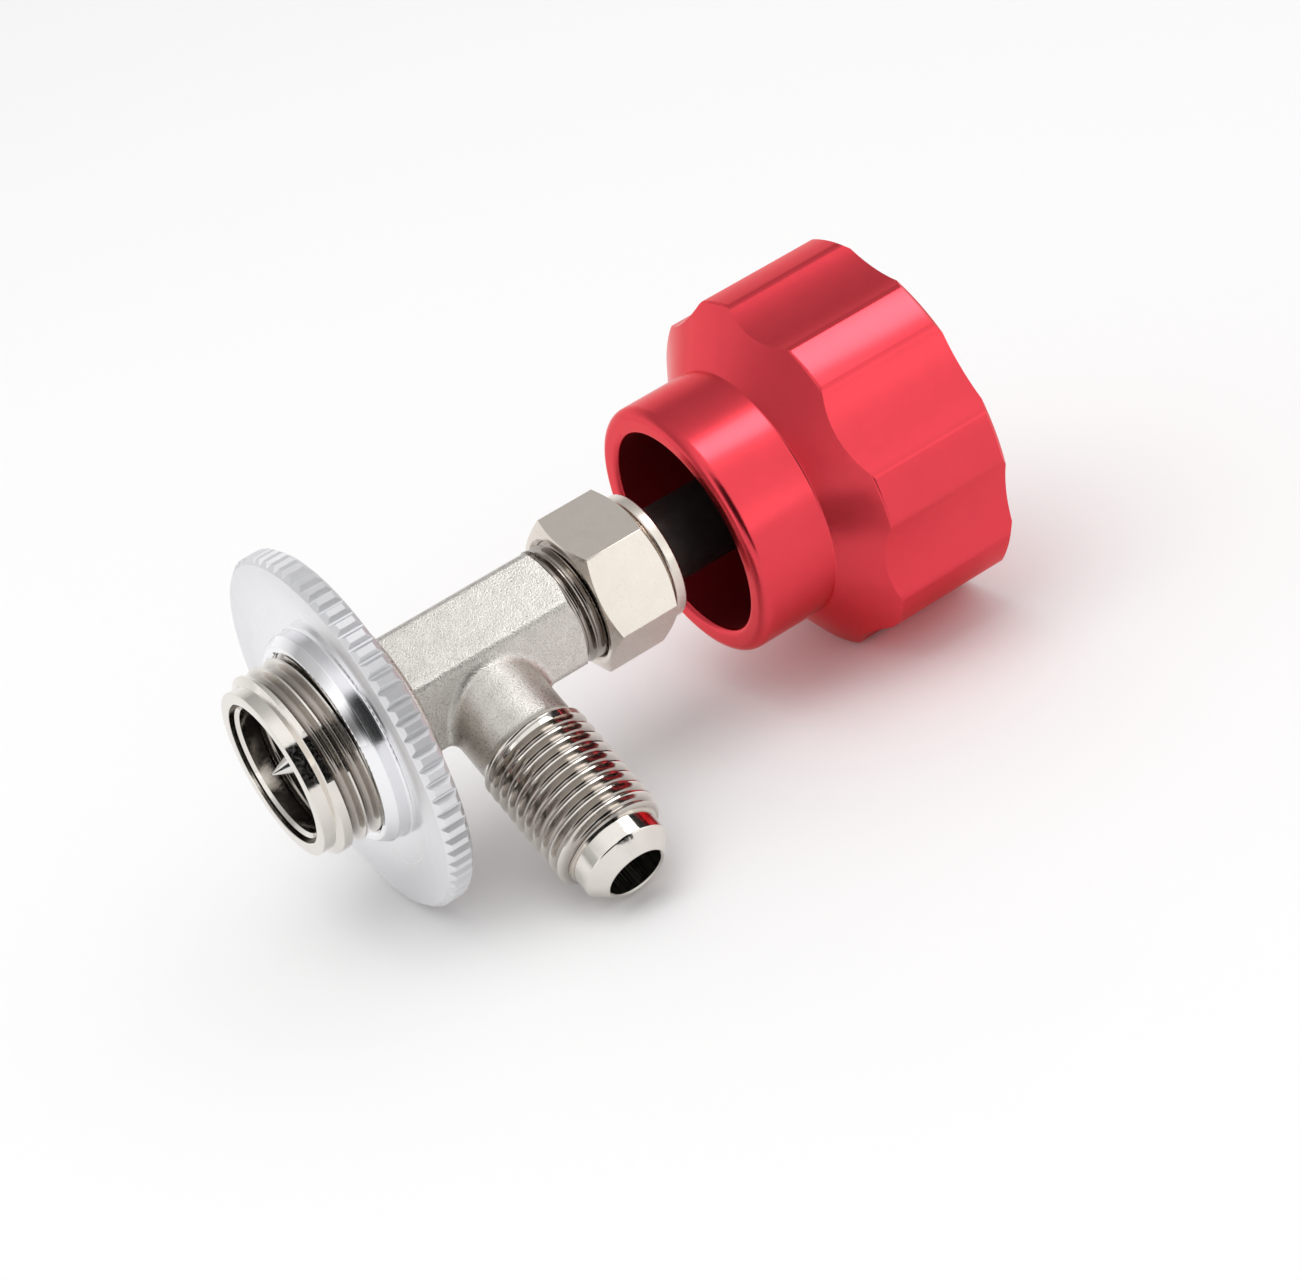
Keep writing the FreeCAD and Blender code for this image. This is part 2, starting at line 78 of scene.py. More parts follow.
# Dark places in the tent, by the camera and past the knob: direction, then the degrees off it where
# the darkness ends and where it is full
DARK_PLACES = (
    ((-0.5, -0.78, 0.38), 34, 20),
    ((0.86, 0.22, 0.42), 30, 16),
)
# Level of the tent in its dark places
DARK_LEVEL = 0.02
BLACK = (0, 0, 0, 1)
WHITE = (1, 1, 1, 1)
X_AXIS = Vector((1, 0, 0))
# Sockets of the Mix node that hold its two colours, and the one that gives the mixed colour
COLOUR_A = 6
COLOUR_B = 7
MIXED = 2
# Point attribute that holds how deep a point lies in a thread, which sets the painted shade in its roots
GROOVE_SHADE = "groove"
# Spread of values that a pattern is read over: all of it, and where clouds and lathe marks mostly lie
WHOLE = (0, 1)
CLOUDY = (0.3, 0.7)
MARKED = (0.4, 1.1)
# Tint of the dyed skin seen edge on
EDGE_RED = (1.0, 0.45, 0.45, 1.0)
# Edges flatter than this many degrees are shaded round, on the threaded pieces and on the others
THREADED_SHADING = 38
PLAIN_SHADING = 25
# Facets within this many degrees of one plane are joined, and edges past this many are broken
FACET_ANGLE = 0.5
BROKEN_ANGLE = 20
# Distance by which a cutter passes a face, and by which a finish passes its border
PAST = 0.1 * MM
# Distance by which points that belong together are welded
WELD = 0.0001 * MM
# Reach of the disc's burnished hub and of the knob's drilled bore, which takes a painted shade
HUB_RADIUS = 10.75 * MM
KNOB_BORE_RADIUS = 10.5 * MM
KNOB_BORE_DEPTH = 10.6 * MM
# Rounded edge of the knob's mouth, which keeps the outer finish
KNOB_LIP = 0.7 * MM
# How deep in the mouth its skin turns dull and takes the painted shade of the roots, and the radius that
# this reaches
DULL_AND_SHADED_START = 0.9 * MM
DULL_AND_SHADED_REACH = 7.2 * MM
# How far the turned finish starts before the first groove of the gland's and the flare's threads
GLAND_TURNED = 0.3 * MM
FLARE_TURNED = 0.5 * MM
# The overhead soft box
LAMP_PLACE = Vector((-0.1, -0.05, 0.6))
LAMP_SIDE = 0.5
# Places that the dark and the bright card face, and the size of each card
SOCKET_SIDE = Vector((5 * MM, -9 * MM, 3 * MM))
KNOB_TOP = Vector((58 * MM, -10 * MM, 13 * MM))
DARK_CARD_SIZE = (34 * MM, 76 * MM)
BRIGHT_CARD_SIZE = (62 * MM, 36 * MM)
# Box of the solids, before any piece is made
CAD_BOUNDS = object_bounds()
# The flare branch: its mount, its direction, and where its axis meets the valve's
FLARE = next(mount for mount in frame["record"]["mounts"] if mount["name"] == "flare_thread")
FLARE_AXIS = Vector(FLARE["axis"]).normalized()
BRANCH_ORIGIN = Vector((FLARE["pos_m"][0], 0, 0))


def srgb(code):
    """Linear colour of an sRGB hex code."""
    levels = [int(code[i:i + 2], 16) / 255 for i in (0, 2, 4)]
    linear = [level / 12.92 if level <= 0.04045 else ((level + 0.055) / 1.055) ** 2.4
              for level in levels]
    return linear + [1.0]


def length(name, description, millimetres):
    """Property for a length, kept in metres."""
    return FloatProperty(name=name, description=description, default=millimetres * MM, min=0,
                         precision=6, unit="LENGTH")


def colour(name, description, code):
    """Property for a colour, from its sRGB hex code."""
    return FloatVectorProperty(name=name, description=description, default=srgb(code), size=4,
                               min=0, max=1, subtype="COLOR")


class CanTapThreads(PropertyGroup):
    """Sizes of the threads that are cut into the solids, and of the edges that are broken."""

    socket_radius: length("Socket radius", "Crest of the outside thread of the can socket", 9.2)
    socket_pitch: length("Socket pitch", "Pitch of the socket's outside thread", 1.5875)
    socket_depth: length("Socket depth", "Depth of the socket's outside thread", 0.85)
    socket_start: length("Socket start", "Middle of the first groove where the thread runs in", 1.8)
    socket_end: length("Socket end", "Middle of the last groove, in the relief before the collar", 8.9)
    socket_turn: FloatProperty(name="Socket turn", default=math.radians(-210), subtype="ANGLE",
                               description="Where the socket's thread runs in, from +Z about +X")
    lead_radius: length("Lead radius", "Plain land between the socket's front face and its thread", 8.42)
    lead_end: length("Lead end", "Where the plain land meets the thread's first flank", 1.3)
    mouth_inner: length("Mouth groove inside", "Inner side of the narrow groove round the mouth", 6.82)
    mouth_outer: length("Mouth groove outside", "Outer side of the narrow groove round the mouth", 7.18)
    mouth_floor: length("Mouth groove floor", "Floor of the narrow groove round the mouth", 1.0)
    can_radius: length("Can thread radius", "Bore of the inside thread for the can", 6.5)
    can_pitch: length("Can thread pitch", "Pitch of the inside thread for the can", 1.5)
    can_depth: length("Can thread depth", "Depth of the inside thread for the can", 0.65)
    can_start: length("Can thread start", "Middle of the first inside groove", 1.9)
    can_end: length("Can thread end", "Middle of the last inside groove", 4.2)
    gland_radius: length("Gland radius", "Crest of the thread under the gland nut", 6.0)
    gland_start: length("Gland start", "Middle of the first groove, in the relief by the hexagon", 31.1)
    gland_end: length("Gland end", "Middle of the last groove, past the end of the body", 38.8)
    fine_pitch: length("Fine pitch", "Pitch of the gland and spindle threads", 1.0)
    fine_depth: length("Fine depth", "Depth of the gland and spindle threads", 0.58)
    flare_radius: length("Flare radius", "Crest of the flare branch's thread", FLARE["dims"]["r_mm"])
    flare_pitch: length("Flare pitch", "Pitch of the flare thread, 20 to the inch", 1.27)
    flare_depth: length("Flare depth", "Depth of the flare thread", 0.76)
    flare_start: length("Flare start", "Middle of the first groove, from the valve's axis", 11.75)
    flare_end: length("Flare end", "Middle of the last groove, over the pilot", 24.7)
    spindle_radius: length("Spindle radius", "Crest of the spindle's thread", 3.9)
    spindle_start: length("Spindle start", "Middle of the first groove, in the spindle's relief", 28.35)
    spindle_end: length("Spindle end", "Middle of the last groove, where the thread runs out", 40.7)
    nut_edge: length("Nut edge", "Width of the broken edges of the nut", 0.14)
    steps: IntProperty(name="Steps", description="Steps of a thread in one turn",
                       default=80, min=24, max=180)


class CanTapFinishes(PropertyGroup):
    """Colours of the finishes, and of the painted shade in the threads' roots and in the knob's bore."""

    blasted_nickel: colour("Blasted nickel", "Forged and blasted brass under nickel", "E0DCD6")
    machined_nickel: colour("Machined nickel", "Turned brass under bright nickel", "E6E1DA")
    # Painted shade: the dark brown laid into the threads' roots and inside the mouth, where shade falls
    groove: colour("Groove", "Thin dull plating at the root of a thread", "5A4A40")
    aluminium: colour("Aluminium", "Bare turned aluminium of the lock disc", "EAEAEC")
    hub: colour("Hub", "Burnished aluminium of the disc's hub", "F4F4F6")
    nut_nickel: colour("Nut nickel", "Satin nickel of the gland nut", "E4DCD2")
    anodised: colour("Anodised red", "Dyed aluminium of the knob", "E23F4B")
    # Painted shade: the bore is the knob's own red, darkened for the shade deep inside it
    bore_shade: colour("Knob's bore", "Dyed skin inside the knob, rough from the drill", "86101A")
    blackened: colour("Blackened steel", "Oxide black of the spindle", "34312F")
    ground_steel: colour("Ground steel", "Ground point of the needle", "E4E2DE")
    rubber: colour("Rubber", "Seal and O-ring", "161617")
    brass: colour("Brass", "Bare brass of the gland's ring and washer", "C9A45C")
    ptfe: colour("PTFE", "Packing round the spindle", "ECEAE4")
    zinc: colour("Zinc", "Zinc plated screw and washers", "C4C6C8")
    floor: colour("Floor", "Pale paper under the tap", "FCFCFC")


class CanTapStage(PropertyGroup):
    """Camera, floor and light."""

    azimuth: FloatProperty(name="Azimuth", description="Camera's turn about Z from the valve's front",
                           default=math.radians(-22.891948), subtype="ANGLE")
    elevation: FloatProperty(name="Elevation", description="Camera's height above the floor's plane",
                             default=math.radians(26.680569), subtype="ANGLE")
    roll: FloatProperty(name="Roll", description="Camera's roll about its own line of sight",
                        default=math.radians(-20.21038), subtype="ANGLE")
    distance: length("Distance", "From the camera to the point that it looks at", 339.492)
    aim: FloatVectorProperty(name="Aim", description="Point that the camera looks at",
                             default=(0.03302, -0.014824, 0), subtype="TRANSLATION", unit="LENGTH")
    dark_card: FloatVectorProperty(name="Dark card", description="Middle of the dark card by the socket",
                                   default=(0.027, -0.065, 0.021), subtype="TRANSLATION", unit="LENGTH")
    bright_card: FloatVectorProperty(name="Bright card",
                                     description="Middle of the bright card over the knob",
                                     default=(0.1, -0.028, 0.102), subtype="TRANSLATION", unit="LENGTH")
    bright_level: FloatProperty(name="Bright level", description="Level of the bright card",
                                default=4.2, min=0)
    lens: FloatProperty(name="Lens", description="Focal length in millimetres on a 36 mm frame",
                        default=104.515, min=10)
    floor_size: length("Floor size", "Side of the square floor", 4000)
    sky: FloatProperty(name="Sky", description="Level of the white tent in diffuse light",
                       default=0.83, min=0, max=1, subtype="FACTOR")
    lamp_power: FloatProperty(name="Lamp power", description="Watts of the overhead soft box",
                              default=1.05, min=0, unit="POWER")


def deselect_all():
    """Leave edit mode and deselect everything."""
    if bpy.context.object and bpy.context.object.mode != "OBJECT":
        bpy.ops.object.mode_set(mode="OBJECT")
    bpy.ops.object.select_all(action="DESELECT")


def select_only(*pieces):
    """Select some pieces and make the first one active."""
    deselect_all()
    for piece in pieces:
        piece.select_set(True)
    bpy.context.view_layer.objects.active = pieces[0]


def edit_whole(piece, step, **settings):
    """Run a step of edit mode on the whole mesh of a piece."""
    select_only(piece)
    bpy.ops.object.mode_set(mode="EDIT")
    bpy.ops.mesh.select_all(action="SELECT")
    step(**settings)
    bpy.ops.object.mode_set(mode="OBJECT")


def merged_copy(node, name):
    """Copy of a CAD node as one welded mesh, with the solid's own facets."""
    piece = bpy.data.objects.new(name, frame["nodes"][node].data.copy())
    piece.data.name = name
    piece.data.materials.clear()
    bpy.context.scene.collection.objects.link(piece)
    select_only(piece)
    bpy.ops.mesh.customdata_custom_splitnormals_clear()
    edit_whole(piece, bpy.ops.mesh.remove_doubles, threshold=WELD)
    return piece


def apply_modifier(piece, name, kind, **settings):
    """Add a modifier to a piece and apply it."""
    select_only(piece)
    modifier = piece.modifiers.new(name, kind)
    for setting, value in settings.items():
        setattr(modifier, setting, value)
    bpy.ops.object.modifier_apply(modifier=name)


def shade(piece, degrees):
    """Round the shading over edges flatter than an angle, and keep the large faces even."""
    select_only(piece)
    bpy.ops.object.shade_smooth_by_angle(angle=math.radians(degrees))
    apply_modifier(piece, "even faces", "WEIGHTED_NORMAL", keep_sharp=True)


def join_facets(piece):
    """Join the triangles that lie in one plane, so that the shading runs evenly round the piece."""
    edit_whole(piece, bpy.ops.mesh.dissolve_limited, angle_limit=math.radians(FACET_ANGLE))


def soften_edges(piece, width):
    """Break the sharp edges of a piece, as tumbling does."""
    apply_modifier(piece, "broken edges", "BEVEL", width=width, segments=2, limit_method="ANGLE",
                   angle_limit=math.radians(BROKEN_ANGLE), use_clamp_overlap=True)


def groove_outline(pitch, depth):
    """Half of a thread groove's outline, as (half width, depth) from above the crest to the root."""
    return (
        (0.47 * pitch, -0.3 * depth),
        (0.44 * pitch, 0),
        (0.36 * pitch, 0.34 * depth),
        (0.27 * pitch, 0.74 * depth),
        (0.16 * pitch, 0.94 * depth),
        (0.05 * pitch, depth),
    )


def thread_cutter(radius, pitch, depth, start, end, phase=0,
                  inside=False, fade_in=False, fade_out=False):
    """Helical cutter for a right-handed thread along X, which can fade in and out in half a turn."""
    inward = -1 if inside else 1
    half = groove_outline(pitch, depth)
    outline = [(x, d) for x, d in half] + [(-x, d) for x, d in reversed(half)]
    turns = (end - start) / pitch
    steps = round(bpy.context.scene.can_tap_threads.steps * turns)
    deselect_all()
    bpy.ops.mesh.primitive_circle_add(vertices=len(outline), radius=depth)
    cutter = bpy.context.object
    for vertex, (x, down) in zip(cutter.data.vertices, outline):
        vertex.co = (start + x, 0, radius - inward * down)
    apply_modifier(cutter, "helix", "SCREW", axis="X", angle=math.tau * turns,
                   screw_offset=pitch * turns, steps=steps, render_steps=steps, use_smooth_shade=False)
    fade_steps = steps / turns / 2
    # A groove that has faded out lies just clear of the crest
    lift = 1.05 * depth
    for i, vertex in enumerate(cutter.data.vertices):
        step = i // len(outline)
        out = 0
        if fade_in:
            out = max(out, 1 - step / fade_steps)
        if fade_out:
            out = max(out, 1 - (steps - step) / fade_steps)
        around = Vector((0, vertex.co.y, vertex.co.z)).normalized()
        vertex.co += around * inward * lift * out
    cutter.rotation_euler.x = phase
    bpy.ops.object.transform_apply(location=True, rotation=True, scale=True)
    edit_whole(cutter, bpy.ops.mesh.fill_holes, sides=0)
    edit_whole(cutter, bpy.ops.mesh.normals_make_consistent, inside=False)
    return cutter


def ring_cutter(*outline):
    """Ring about X, turned from an outline of (x, radius) points, twice as fine as a thread."""
    steps = 2 * bpy.context.scene.can_tap_threads.steps
    deselect_all()
    bpy.ops.mesh.primitive_circle_add(vertices=len(outline), radius=MM)
    cutter = bpy.context.object
    for vertex, (x, radius) in zip(cutter.data.vertices, outline):
        vertex.co = (x, 0, radius)
    apply_modifier(cutter, "turn", "SCREW", axis="X", angle=math.tau, steps=steps, render_steps=steps,
                   use_merge_vertices=True, merge_threshold=WELD, use_smooth_shade=False)
    edit_whole(cutter, bpy.ops.mesh.normals_make_consistent, inside=False)
    return cutter


def turn_to_branch(cutter):
    """Turn a cutter that was made along X onto the flare branch."""
    turn = X_AXIS.rotation_difference(FLARE_AXIS).to_matrix().to_4x4()
    cutter.matrix_world = Matrix.Translation(BRANCH_ORIGIN) @ turn
    select_only(cutter)
    bpy.ops.object.transform_apply(location=True, rotation=True, scale=True)


def cut(piece, cutters):
    """Cut a piece with several cutters at once, and delete them."""
    select_only(*cutters)
    if len(cutters) > 1:
        bpy.ops.object.join()
    cutter = bpy.context.object
    apply_modifier(piece, "cut", "BOOLEAN", operation="DIFFERENCE", solver="EXACT", object=cutter)
    select_only(cutter)
    bpy.ops.object.delete()


def fill_inputs(owner, node, inputs):
    """Give each input named a value, or a link from another node."""
    for name, value in inputs.items():
        if isinstance(value, bpy.types.NodeSocket):
            owner.node_tree.links.new(value, node.inputs[name])
        else:
            node.inputs[name].default_value = value


def add_node(owner, kind, settings=None, inputs=None):
    """Add a node to a material or a world, with its settings and its inputs."""
    node = owner.node_tree.nodes.new(kind)
    for name, value in (settings or {}).items():
        setattr(node, name, value)
    fill_inputs(owner, node, inputs or {})
    return node


def new_material(name, base, metallic, roughness, more=None):
    """Material with one shader, and the coordinates that its patterns are measured in."""
    material = bpy.data.materials.new(name)
    material.use_nodes = True
    shader = material.node_tree.nodes["Principled BSDF"]
    fill_inputs(material, shader, {"Base Color": base, "Metallic": metallic, "Roughness": roughness})
    fill_inputs(material, shader, more or {})
    place = add_node(material, "ShaderNodeTexCoord").outputs["Object"]
    return material, shader, place


def toned(colour_value, factor):
    """A colour made darker or lighter by a factor."""
    return [min(1.0, part * factor) for part in list(colour_value)[:3]] + [1.0]


def vary(material, shader, shades=None, gloss=None, relief=()):
    """Vary a finish by its patterns.

    Shades are (pattern, low, high, first, second): the colour goes from the first to the second as the
    pattern goes from low to high. Gloss is the same, with two values of roughness. Relief is pairs of
    (pattern, rise in metres), each laid on the one before it.
    """
    if shades:
        pattern, low, high, first, second = shades
        amount = add_node(material, "ShaderNodeMapRange", {},
                          {"Value": pattern, "From Min": low, "From Max": high}).outputs["Result"]
        colours = add_node(material, "ShaderNodeMix", {"data_type": "RGBA"},
                           {"Factor": amount, COLOUR_A: first, COLOUR_B: second}).outputs[MIXED]
        fill_inputs(material, shader, {"Base Color": colours})
    if gloss:
        pattern, low, high, first, second = gloss
        dullness = add_node(material, "ShaderNodeMapRange", {},
                            {"Value": pattern, "From Min": low, "From Max": high,
                             "To Min": first, "To Max": second}).outputs["Result"]
        fill_inputs(material, shader, {"Roughness": dullness})
    laid = {}
    for pattern, rise in relief:
        bump = add_node(material, "ShaderNodeBump", {},
                        {"Height": pattern, "Distance": rise, "Strength": 1.0, **laid})
        laid = {"Normal": bump.outputs["Normal"]}
    fill_inputs(material, shader, laid)


def lathe_marks(material, place, spacing, wander):
    """Fine rings round the X axis, as a cutting tool leaves them, a little uneven along the way."""
    along = add_node(material, "ShaderNodeSeparateXYZ", {}, {"Vector": place}).outputs["X"]
    waver = add_node(material, "ShaderNodeTexNoise", {"noise_dimensions": "1D"},
                     {"W": along, "Scale": 1 / wander, "Detail": 3.0}).outputs["Fac"]
    fine = add_node(material, "ShaderNodeTexNoise", {"noise_dimensions": "1D"},
                    {"W": along, "Scale": 1 / spacing, "Detail": 1.0}).outputs["Fac"]
    return add_node(material, "ShaderNodeMath", {"operation": "MULTIPLY_ADD"},
                    {0: waver, 1: 0.5, 2: fine}).outputs[0]


def blasted_nickel(finishes):
    """Nickel plated brass, forged and bead blasted: a bright grey skin, grainy and soft in its shine."""
    base = finishes.blasted_nickel
    material, shader, place = new_material("blasted nickel on forged brass", base, 1.0, 0.36)
    grit = add_node(material, "ShaderNodeTexNoise", {},
                    {"Vector": place, "Scale": 1 / (0.15 * MM), "Detail": 2.0}).outputs["Fac"]
    clouds = add_node(material, "ShaderNodeTexNoise", {},
                      {"Vector": place, "Scale": 1 / (1.3 * MM), "Detail": 4.0}).outputs["Fac"]
    forging = add_node(material, "ShaderNodeTexNoise", {},
                       {"Vector": place, "Scale": 1 / (5 * MM), "Detail": 2.0}).outputs["Fac"]
    patches = add_node(material, "ShaderNodeMapRange", {},
                       {"Value": clouds, "From Min": CLOUDY[0], "From Max": CLOUDY[1]}).outputs["Result"]
    skin = add_node(material, "ShaderNodeMix", {"data_type": "RGBA"},
                    {"Factor": patches, COLOUR_A: toned(base, 0.92),
                     COLOUR_B: toned(base, 1.06)}).outputs[MIXED]
    pits = add_node(material, "ShaderNodeMapRange", {},
                    {"Value": grit, "From Min": 0.36, "From Max": 0.58,
                     "To Min": 0.4, "To Max": 0}).outputs["Result"]
    vary(material, shader, shades=(pits, *WHOLE, skin, toned(base, 0.4)),
         gloss=(grit, *CLOUDY, 0.24, 0.42),
         relief=((forging, 0.07 * MM), (clouds, 0.03 * MM), (grit, 0.06 * MM)))
    return material


def machined_nickel(finishes):
    """Turned brass under bright nickel: a warm mirror on the threads' crests, with painted brown shade
    in their roots.
    """
    base = finishes.machined_nickel
    material, shader, place = new_material("bright nickel on turned brass", base, 1.0, 0.11)
    haze = add_node(material, "ShaderNodeTexNoise", {},
                    {"Vector": place, "Scale": 1 / (2.2 * MM), "Detail": 3.0}).outputs["Fac"]
    scratch = add_node(material, "ShaderNodeTexNoise", {},
                       {"Vector": place, "Scale": 1 / (0.3 * MM), "Detail": 4.0}).outputs["Fac"]
    depth = add_node(material, "ShaderNodeAttribute", {"attribute_name": GROOVE_SHADE}).outputs["Fac"]
    skin = add_node(material, "ShaderNodeMix", {"data_type": "RGBA"},
                    {"Factor": haze, COLOUR_A: toned(base, 0.9),
                     COLOUR_B: toned(base, 1.04)}).outputs[MIXED]
    # Painted shade, darker the deeper a point lies in a thread
    root_shade = add_node(material, "ShaderNodeMapRange", {},
                       {"Value": depth, "From Min": 0.1, "To Max": 0.6}).outputs["Result"]
    scuffed = add_node(material, "ShaderNodeMapRange", {},
                       {"Value": scratch, "From Min": CLOUDY[0], "From Max": CLOUDY[1],
                        "To Min": 0.07, "To Max": 0.17}).outputs["Result"]
    dullness = add_node(material, "ShaderNodeMath", {"operation": "MULTIPLY_ADD"},
                        {0: depth, 1: 0.04, 2: scuffed}).outputs[0]
    vary(material, shader, shades=(root_shade, *WHOLE, skin, finishes.groove),
         relief=((scratch, 0.004 * MM),))
    fill_inputs(material, shader, {"Roughness": dullness})
    return material


def turned_aluminium(finishes):
    """Bare aluminium off the lathe: near white, bright by the hub, dull at the rim, finely ringed."""
    base = finishes.aluminium
    material, shader, place = new_material("bare turned aluminium", base, 1.0, 0.34)
    haze = add_node(material, "ShaderNodeTexNoise", {},
                    {"Vector": place, "Scale": 1 / (1.5 * MM), "Detail": 3.0}).outputs["Fac"]
    split = add_node(material, "ShaderNodeSeparateXYZ", {}, {"Vector": place}).outputs
    flat = add_node(material, "ShaderNodeCombineXYZ", {},
                    {"Y": split["Y"], "Z": split["Z"]}).outputs["Vector"]
    radius = add_node(material, "ShaderNodeVectorMath", {"operation": "LENGTH"},
                      {0: flat}).outputs["Value"]
    along = add_node(material, "ShaderNodeMath", {"operation": "ADD"},
                     {0: radius, 1: split["X"]}).outputs[0]
    rings = add_node(material, "ShaderNodeTexNoise", {"noise_dimensions": "1D"},
                     {"W": along, "Scale": 1 / (0.14 * MM), "Detail": 2.0}).outputs["Fac"]
    outward = add_node(material, "ShaderNodeMapRange", {},
                       {"Value": radius, "From Min": 11 * MM, "From Max": 18 * MM,
                        "To Min": 0.1, "To Max": 0.5}).outputs["Result"]
    dullness = add_node(material, "ShaderNodeMath", {"operation": "MULTIPLY_ADD"},
                        {0: rings, 1: 0.06, 2: outward}).outputs[0]
    vary(material, shader, shades=(haze, *WHOLE, toned(base, 0.97), toned(base, 1.03)),
         relief=((rings, 0.0006 * MM),))
    fill_inputs(material, shader, {"Roughness": dullness})
    return material


def burnished_aluminium(finishes):
    """Aluminium burnished by the tool: a cool mirror with a few faint rings."""
    material, shader, place = new_material("burnished aluminium", finishes.hub, 1.0, 0.08)
    marks = lathe_marks(material, place, 0.1 * MM, 0.5 * MM)
    vary(material, shader, gloss=(marks, *MARKED, 0.05, 0.12), relief=((marks, 0.001 * MM),))
    return material


def nut_nickel(finishes):
    """Machined brass under satin nickel: smooth flats with a soft grey shine."""
    base = finishes.nut_nickel
    material, shader, place = new_material("satin nickel on machined brass", base, 1.0, 0.26)
    haze = add_node(material, "ShaderNodeTexNoise", {},
                    {"Vector": place, "Scale": 1 / (1.6 * MM), "Detail": 4.0}).outputs["Fac"]
    fine = add_node(material, "ShaderNodeTexNoise", {},
                    {"Vector": place, "Scale": 1 / (0.2 * MM), "Detail": 2.0}).outputs["Fac"]
    vary(material, shader, shades=(haze, *WHOLE, toned(base, 0.93), toned(base, 1.05)),
         gloss=(fine, *CLOUDY, 0.23, 0.28), relief=((fine, 0.0008 * MM),))
    return material


def red_anodised(finishes):
    """Anodised aluminium, dyed red: metal seen through a clear hard skin, satin with soft highlights."""
    base = finishes.anodised
    material, shader, place = new_material("red anodised aluminium", base, 1.0, 0.27, {
        "Coat Weight": 0.3, "Coat Roughness": 0.16, "Specular Tint": EDGE_RED})
    marks = lathe_marks(material, place, 0.12 * MM, 0.9 * MM)
    haze = add_node(material, "ShaderNodeTexNoise", {},
                    {"Vector": place, "Scale": 1 / (1.8 * MM), "Detail": 3.0}).outputs["Fac"]
    vary(material, shader, shades=(haze, *WHOLE, toned(base, 0.95), toned(base, 1.05)),
         gloss=(marks, *MARKED, 0.24, 0.27), relief=((marks, 0.0004 * MM),))
    return material


def shaded_drilled_bore(finishes):
    """Inside of the knob: the red skin over drill marks, dull, and darkened with painted shade as it
    lies deep.
    """
    base = finishes.bore_shade
    material, shader, place = new_material("anodised bore", base, 0.6, 0.45)
    marks = lathe_marks(material, place, 0.15 * MM, 0.8 * MM)
    vary(material, shader, shades=(marks, *WHOLE, toned(base, 0.8), toned(base, 1.1)),
         gloss=(marks, *MARKED, 0.4, 0.52), relief=((marks, 0.004 * MM),))
    return material


def blackened_steel(finishes):
    """Turned steel with a black oxide skin: nearly black, with a dull oily shine."""
    base = finishes.blackened
    material, shader, place = new_material("blackened turned steel", base, 0.8, 0.32)
    marks = lathe_marks(material, place, 0.1 * MM, 0.6 * MM)
    haze = add_node(material, "ShaderNodeTexNoise", {},
                    {"Vector": place, "Scale": 1 / (1.2 * MM), "Detail": 3.0}).outputs["Fac"]
    vary(material, shader, shades=(haze, *WHOLE, toned(base, 0.7), toned(base, 1.5)),
         gloss=(marks, *MARKED, 0.28, 0.4), relief=((marks, 0.003 * MM),))
    return material


def ground_steel(finishes):
    """Hardened steel ground to a point: bright, with fine rings from the wheel."""
    material, shader, place = new_material("ground needle steel", finishes.ground_steel, 1.0, 0.2)
    marks = lathe_marks(material, place, 0.08 * MM, 0.4 * MM)
    vary(material, shader, gloss=(marks, *MARKED, 0.12, 0.26), relief=((marks, 0.004 * MM),))
    return material


def moulded_rubber(finishes):
    """Moulded black rubber: matt, with a faint bloom."""
    base = finishes.rubber
    material, shader, place = new_material("moulded black rubber", base, 0.0, 0.62)
    bloom = add_node(material, "ShaderNodeTexNoise", {},
                     {"Vector": place, "Scale": 1 / (0.8 * MM), "Detail": 4.0}).outputs["Fac"]
    vary(material, shader, shades=(bloom, *WHOLE, toned(base, 0.7), toned(base, 1.6)),
         gloss=(bloom, *CLOUDY, 0.52, 0.72), relief=((bloom, 0.01 * MM),))
    return material


def turned_brass(finishes):
    """Bare turned brass: yellow and lightly ringed."""
    base = finishes.brass
    material, shader, place = new_material("bare turned brass", base, 1.0, 0.28)
    marks = lathe_marks(material, place, 0.1 * MM, 0.7 * MM)
    vary(material, shader, shades=(marks, *WHOLE, toned(base, 0.85), toned(base, 1.05)),
         gloss=(marks, *MARKED, 0.22, 0.36), relief=((marks, 0.003 * MM),))
    return material


def pressed_ptfe(finishes):
    """Pressed PTFE packing: white, waxy and faintly cloudy."""
    base = finishes.ptfe
    material, shader, place = new_material("pressed PTFE", base, 0.0, 0.5)
    clouds = add_node(material, "ShaderNodeTexNoise", {},
                      {"Vector": place, "Scale": 1 / (0.9 * MM), "Detail": 3.0}).outputs["Fac"]
    vary(material, shader, shades=(clouds, *WHOLE, toned(base, 0.95), toned(base, 1.02)),
         gloss=(clouds, *CLOUDY, 0.44, 0.56), relief=((clouds, 0.004 * MM),))
    return material


def zinc_steel(finishes):
    """Steel under bright zinc: cool grey, slightly mottled."""
    base = finishes.zinc
    material, shader, place = new_material("zinc plated steel", base, 1.0, 0.3)
    clouds = add_node(material, "ShaderNodeTexNoise", {},
                      {"Vector": place, "Scale": 1 / (0.7 * MM), "Detail": 4.0}).outputs["Fac"]
    vary(material, shader, shades=(clouds, *WHOLE, toned(base, 0.8), toned(base, 1.1)),
         gloss=(clouds, *CLOUDY, 0.22, 0.4), relief=((clouds, 0.004 * MM),))
    return material


def off_axis(point):
    """Distance of a point from the X axis."""
    return math.hypot(point.y, point.z)


def finish_node(name, material):
    """Give a CAD node a finish."""
    node = frame["nodes"][name]
    if not node.material_slots:
        raise RuntimeError(name + " has no material slot")
    for slot in node.material_slots:
        slot.material = material


